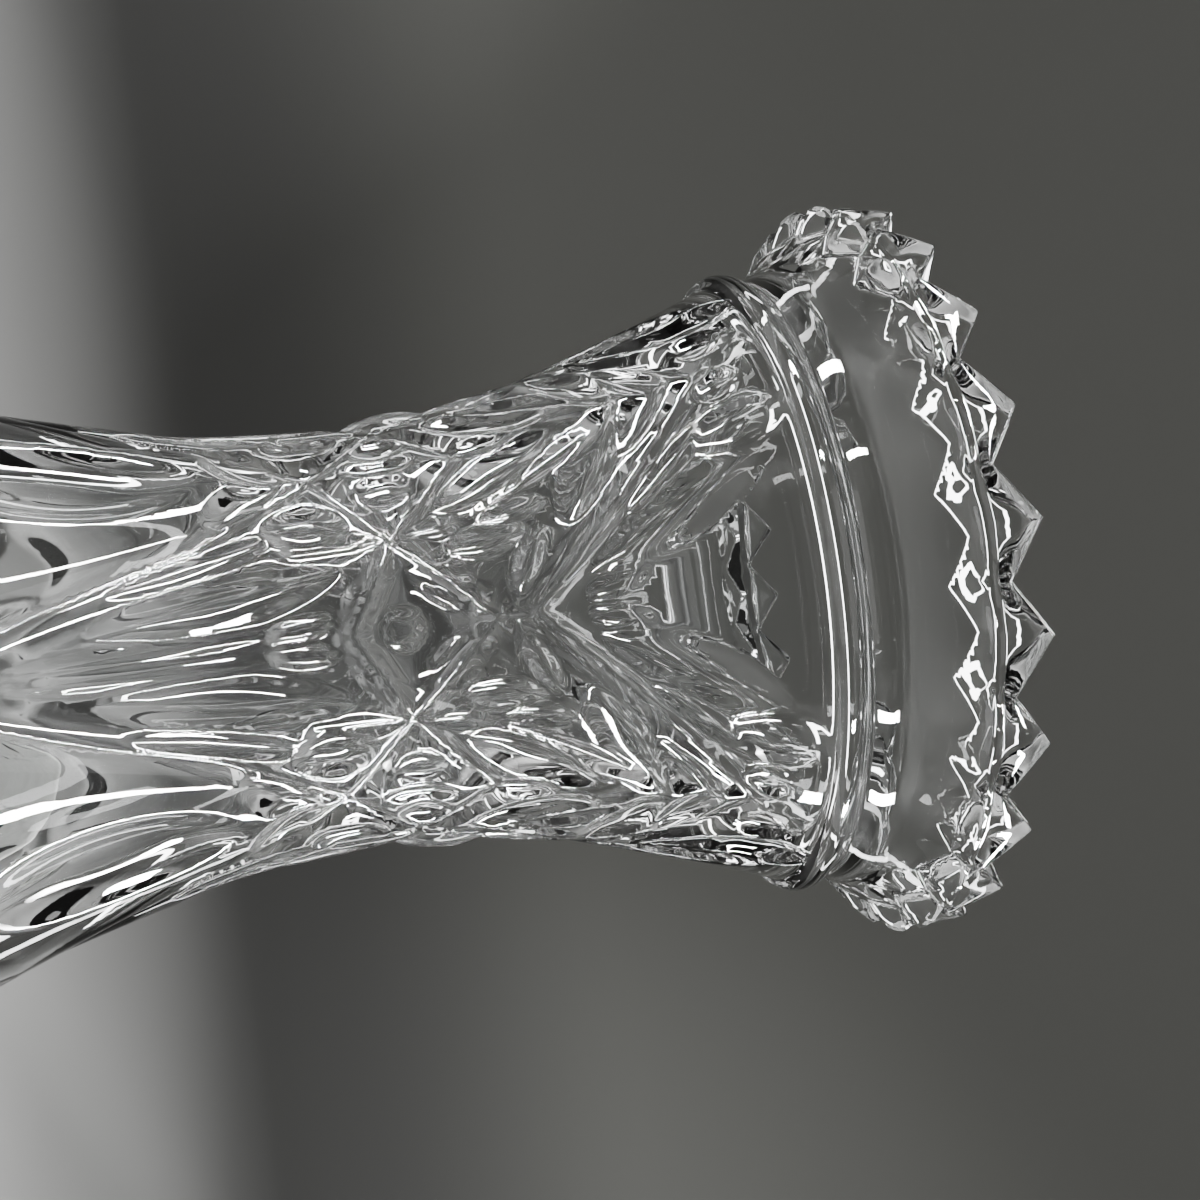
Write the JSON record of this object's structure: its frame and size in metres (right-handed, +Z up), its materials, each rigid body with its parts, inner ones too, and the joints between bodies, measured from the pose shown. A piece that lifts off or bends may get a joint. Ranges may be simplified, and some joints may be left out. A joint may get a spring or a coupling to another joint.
{
  "type": "vase",
  "caption": "Corset-shaped clear glass vase with a ledge, a flared collar and a toothed rim, cut all over with mitres, leaves and a belt of diamonds.",
  "frame": {"origin": "on the vase's axis, at the middle of its flat resting face", "axes": "+Z up the axis towards the mouth; -Y is the middle of the front panel of the pattern, which repeats every quarter turn"},
  "size_m": [0.12, 0.12, 0.2],
  "materials": {
    "crystal_glass": "polished clear crystal, soft moulded edges",
    "label_paper": "matte, plain, unprinted"
  },
  "bodies": {
    "root": {"glass_vase": "crystal_glass", "paper_label": "label_paper"}
  },
  "joints": []
}
